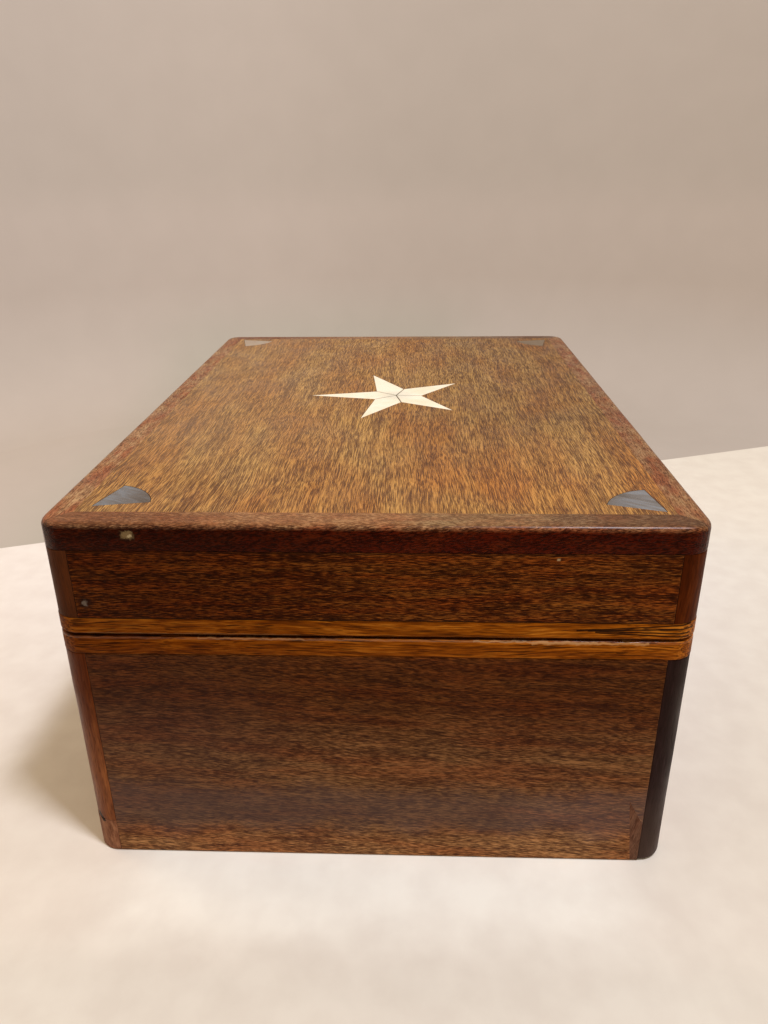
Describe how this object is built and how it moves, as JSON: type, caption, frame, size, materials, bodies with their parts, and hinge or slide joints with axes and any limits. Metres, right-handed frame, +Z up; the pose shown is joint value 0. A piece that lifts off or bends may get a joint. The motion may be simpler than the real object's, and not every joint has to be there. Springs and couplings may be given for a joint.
{
  "type": "inlaid wooden box",
  "caption": "Rectangular wooden box with a hinged lid, rounded corner posts, lighter rim strips at the mouth, and a bone star and shell fans inlaid in the lid; it stores small things.",
  "frame": {"origin": "middle of the underside, on the surface that the box stands on", "axes": "+X along the box to its right end, -Y out of the front, +Y out of the hinged back, +Z up"},
  "size_m": [0.248, 0.1823, 0.115],
  "materials": {
    "wall_wood": "old worn varnish, fine horizontal grain",
    "post_wood": "old varnish, upright grain",
    "ebonised_wood": "blackened and polished",
    "patch_wood": "bare repair, lightly waxed",
    "rim_wood": "honey coloured strip, worn varnish",
    "edging_wood": "dark red brown, glossy varnish",
    "panel_wood": "polished varnish, open grain",
    "bottom_wood": "bare sawn board",
    "bone": "polished bone with fine scratches",
    "mother_of_pearl": "polished shell",
    "brass": "aged, rubbed brass"
  },
  "bodies": {
    "base": {"base_back_left_foot_patch": "patch_wood", "base_back_left_post": "post_wood", "base_back_right_post": "post_wood", "base_back_rim": "rim_wood", "base_back_wall": "wall_wood", "base_bottom_board": "bottom_wood", "base_front_left_post": "ebonised_wood", "base_front_right_post": "post_wood", "base_front_rim": "rim_wood", "base_front_wall": "wall_wood", "base_hinge_screws": "brass", "base_left_end_wall": "wall_wood", "base_left_rim": "rim_wood", "base_left_wedge_patch": "patch_wood", "base_right_end_wall": "wall_wood", "base_right_rim": "rim_wood", "left_hinge_base_leaf": "brass", "left_hinge_pin": "brass", "right_hinge_base_leaf": "brass", "right_hinge_pin": "brass"},
    "lid": {"left_hinge_lid_leaf": "brass", "lid_back_edging": "edging_wood", "lid_back_left_post": "post_wood", "lid_back_right_post": "post_wood", "lid_back_rim": "rim_wood", "lid_back_wall": "wall_wood", "lid_front_edging": "edging_wood", "lid_front_left_post": "post_wood", "lid_front_right_post": "post_wood", "lid_front_rim": "rim_wood", "lid_front_wall": "wall_wood", "lid_hinge_screws": "brass", "lid_left_edging": "edging_wood", "lid_left_end_wall": "wall_wood", "lid_left_rim": "rim_wood", "lid_right_edging": "edging_wood", "lid_right_end_wall": "wall_wood", "lid_right_rim": "rim_wood", "lid_top_panel": "panel_wood", "pearl_fan_back_left": "mother_of_pearl", "pearl_fan_back_right": "mother_of_pearl", "pearl_fan_front_left": "mother_of_pearl", "pearl_fan_front_right": "mother_of_pearl", "right_hinge_lid_leaf": "brass", "star_arm_1": "bone", "star_arm_2": "bone", "star_arm_3": "bone", "star_arm_4": "bone", "star_arm_5": "bone"}
  },
  "joints": [
    {"name": "lid_hinge", "type": "hinge", "parent": "base", "child": "lid", "pos_m": [0, 0.08978, 0.08075], "axis": [-1, 0, 0], "range_deg": [0, 105]}
  ]
}
